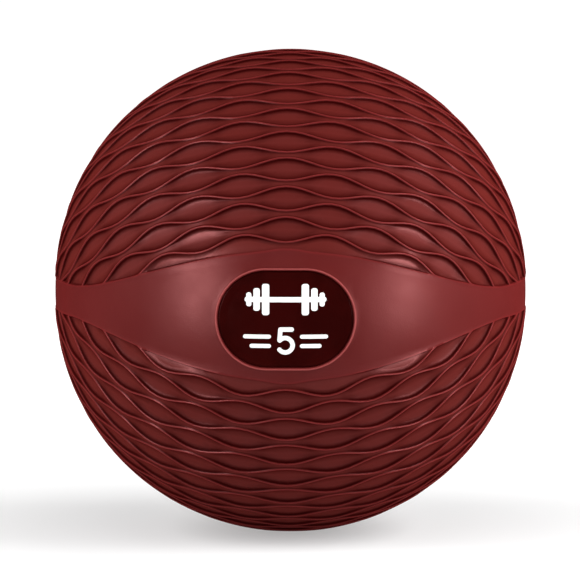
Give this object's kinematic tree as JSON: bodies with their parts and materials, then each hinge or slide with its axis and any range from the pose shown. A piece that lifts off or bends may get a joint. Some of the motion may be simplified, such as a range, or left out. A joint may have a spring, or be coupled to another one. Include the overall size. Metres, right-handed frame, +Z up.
{
  "type": "medicine ball",
  "caption": "Rubber medicine ball with wavy moulded grip ribs, a smooth eye-shaped belt, a recessed oval badge at the front and a needle valve at the back.",
  "frame": {"origin": "centre of the ball", "axes": "+Z up, the badge faces -Y, the valve is on +Y, +X to the right seen from the front"},
  "size_m": [0.2244, 0.2231, 0.23],
  "materials": {
    "cover_rubber": "satin dark red rubber",
    "badge_plate": "glossy very dark maroon",
    "badge_print": "white screen print",
    "filled_rubber": "matt, mineral filled",
    "winding_thread": "nylon thread in latex",
    "bladder_rubber": "black butyl",
    "valve_rubber": "black, slightly glossy"
  },
  "bodies": {
    "root": {"cover": "cover_rubber", "front_badge": "badge_plate", "ballast_front": "filled_rubber", "ballast_back": "filled_rubber", "winding": "winding_thread", "bladder": "bladder_rubber", "valve_patch": "bladder_rubber", "valve_sleeve": "valve_rubber", "valve_core": "valve_rubber"}
  },
  "joints": []
}
